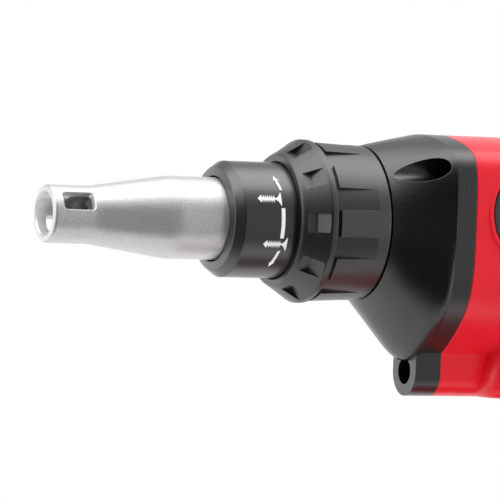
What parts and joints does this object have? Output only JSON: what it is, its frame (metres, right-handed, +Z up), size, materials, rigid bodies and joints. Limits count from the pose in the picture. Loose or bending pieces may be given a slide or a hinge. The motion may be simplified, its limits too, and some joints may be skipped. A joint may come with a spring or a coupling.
{
  "type": "drywall screwdriver",
  "caption": "Cordless pistol-grip drywall screwdriver with a tapered depth nose, fluted adjusting ring, flared gear case, trigger grip and slide-on battery.",
  "frame": {"origin": "centre of the battery's flat underside, on which the tool stands", "axes": "+Z up, nose along -X with the spindle parallel to X, +Y to the tool's right side as its user holds it"},
  "size_m": [0.2168, 0.0831, 0.2029],
  "materials": {
    "satin_aluminium": "satin, fine grain",
    "black_plastic": "fine moulded texture",
    "red_plastic": "satin moulded",
    "dark_rubber": "matt, soft touch",
    "grey_panel": "matt",
    "black_control": "satin",
    "hardened_steel": "ground",
    "spring_steel": "drawn wire",
    "black_screws": "black oxide",
    "hook_steel": "black coat",
    "bronze": "sintered",
    "magnet": "plated",
    "core_iron": "laminated",
    "copper": "enamelled wire",
    "board": "coated",
    "motor_plate": "die cast",
    "cells": "sleeved"
  },
  "bodies": {
    "housing": {"housing_left": "red_plastic", "housing_right": "red_plastic", "gear_case": "black_plastic", "gear_case_screws": "black_screws", "housing_screws": "black_screws", "rear_bumper": "dark_rubber", "grip_cover_left": "dark_rubber", "grip_cover_right": "dark_rubber", "side_panel_left": "grey_panel", "side_panel_right": "grey_panel", "motor_plate": "motor_plate", "front_bearing": "hardened_steel", "rear_bearing": "hardened_steel", "ring_gear": "hardened_steel", "stator_core": "core_iron", "stator_windings": "copper", "sensor_board": "board", "spindle_bush": "bronze", "carrier_bush": "bronze", "trigger_switch": "black_plastic", "control_board": "board", "terminal_block": "black_plastic", "belt_hook": "hook_steel", "hook_screw": "black_screws", "ring_clip": "spring_steel", "ring_washer": "spring_steel"},
    "depth_ring": {"adjust_ring": "black_plastic"},
    "depth_stop": {"depth_collar": "black_plastic"},
    "nose": {"nose_cone": "satin_aluminium", "nose_o_ring": "dark_rubber"},
    "thrust": {"thrust_washer": "hardened_steel"},
    "spindle": {"spindle": "hardened_steel", "bit_magnet": "magnet"},
    "carrier": {"planet_carrier": "hardened_steel", "planet_keeper": "hardened_steel", "clutch_spring": "spring_steel"},
    "planet_top": {"planet_gear_top": "hardened_steel"},
    "planet_left": {"planet_gear_left": "hardened_steel"},
    "planet_right": {"planet_gear_right": "hardened_steel"},
    "rotor": {"rotor_shaft": "hardened_steel", "rotor_core": "core_iron", "sun_pinion": "hardened_steel", "cooling_fan": "black_plastic"},
    "trigger": {"trigger": "red_plastic", "trigger_spring": "spring_steel"},
    "reversing_bar": {"reversing_bar": "black_control"},
    "lock_button": {"lock_button": "black_control", "lock_spring": "spring_steel"},
    "battery": {"battery_upper": "black_plastic", "battery_lower": "black_plastic", "battery_cells": "cells", "battery_contacts": "magnet"},
    "latch_left": {"latch_left": "red_plastic", "latch_spring_left": "spring_steel"},
    "latch_right": {"latch_right": "red_plastic", "latch_spring_right": "spring_steel"}
  },
  "joints": [
    {"name": "depth_adjust", "type": "hinge", "parent": "housing", "child": "depth_ring", "pos_m": [-0.084, 0, 0.178], "axis": [1, 0, 0], "range_deg": [-180, 180]},
    {"name": "depth_slide", "type": "slide", "parent": "housing", "child": "depth_stop", "axis": [-1, 0, 0], "range_m": [-0.003, 0.003]},
    {"name": "nose_pull_off", "type": "slide", "parent": "depth_stop", "child": "nose", "axis": [-1, 0, 0], "range_m": [0, 0.07]},
    {"name": "spindle_push", "type": "slide", "parent": "housing", "child": "thrust", "axis": [1, 0, 0], "range_m": [0, 0.0025], "stiffness_N_per_m": 2500, "springref_m": -0.003, "deforming": ["clutch_spring"]},
    {"name": "spindle_spin", "type": "hinge", "parent": "thrust", "child": "spindle", "pos_m": [-0.108, 0, 0.178], "axis": [1, 0, 0], "continuous": true},
    {"name": "rotor_spin", "type": "hinge", "parent": "housing", "child": "rotor", "pos_m": [-0.018, 0, 0.178], "axis": [1, 0, 0], "continuous": true},
    {"name": "carrier_spin", "type": "hinge", "parent": "housing", "child": "carrier", "pos_m": [-0.061, 0, 0.178], "axis": [1, 0, 0], "continuous": true},
    {"name": "planet_top_spin", "type": "hinge", "parent": "carrier", "child": "planet_top", "pos_m": [-0.0554, 0, 0.1885], "axis": [1, 0, 0], "continuous": true},
    {"name": "planet_left_spin", "type": "hinge", "parent": "carrier", "child": "planet_left", "pos_m": [-0.0554, -0.00909, 0.17275], "axis": [1, 0, 0], "continuous": true},
    {"name": "planet_right_spin", "type": "hinge", "parent": "carrier", "child": "planet_right", "pos_m": [-0.0554, 0.00909, 0.17275], "axis": [1, 0, 0], "continuous": true},
    {"name": "trigger_pull", "type": "slide", "parent": "housing", "child": "trigger", "axis": [1, 0, 0], "range_m": [0, 0.006], "stiffness_N_per_m": 900, "springref_m": -0.004, "deforming": ["trigger_spring"]},
    {"name": "reverse_shift", "type": "slide", "parent": "housing", "child": "reversing_bar", "axis": [0, 1, 0], "range_m": [-0.0022, 0.0022]},
    {"name": "lock_push", "type": "slide", "parent": "housing", "child": "lock_button", "axis": [0, 1, 0], "range_m": [0, 0.0016], "stiffness_N_per_m": 900, "springref_m": -0.001, "deforming": ["lock_spring"]},
    {"name": "battery_slide", "type": "slide", "parent": "housing", "child": "battery", "axis": [-1, 0, 0], "range_m": [0, 0.085]},
    {"name": "latch_left_push", "type": "slide", "parent": "battery", "child": "latch_left", "axis": [0, 1, 0], "range_m": [0, 0.0026], "stiffness_N_per_m": 900, "springref_m": -0.002, "deforming": ["latch_spring_left"]},
    {"name": "latch_right_push", "type": "slide", "parent": "battery", "child": "latch_right", "axis": [0, -1, 0], "range_m": [0, 0.0026], "stiffness_N_per_m": 900, "springref_m": -0.002, "deforming": ["latch_spring_right"]}
  ],
  "couplings": [
    {"joint": "depth_slide", "follows": "depth_adjust", "m_per_rad": 0.00095},
    {"joint": "carrier_spin", "follows": "rotor_spin", "ratio": 0.2},
    {"joint": "spindle_spin", "follows": "rotor_spin", "ratio": 0.2},
    {"joint": "planet_top_spin", "follows": "rotor_spin", "ratio": -0.53333},
    {"joint": "planet_left_spin", "follows": "rotor_spin", "ratio": -0.53333},
    {"joint": "planet_right_spin", "follows": "rotor_spin", "ratio": -0.53333}
  ]
}
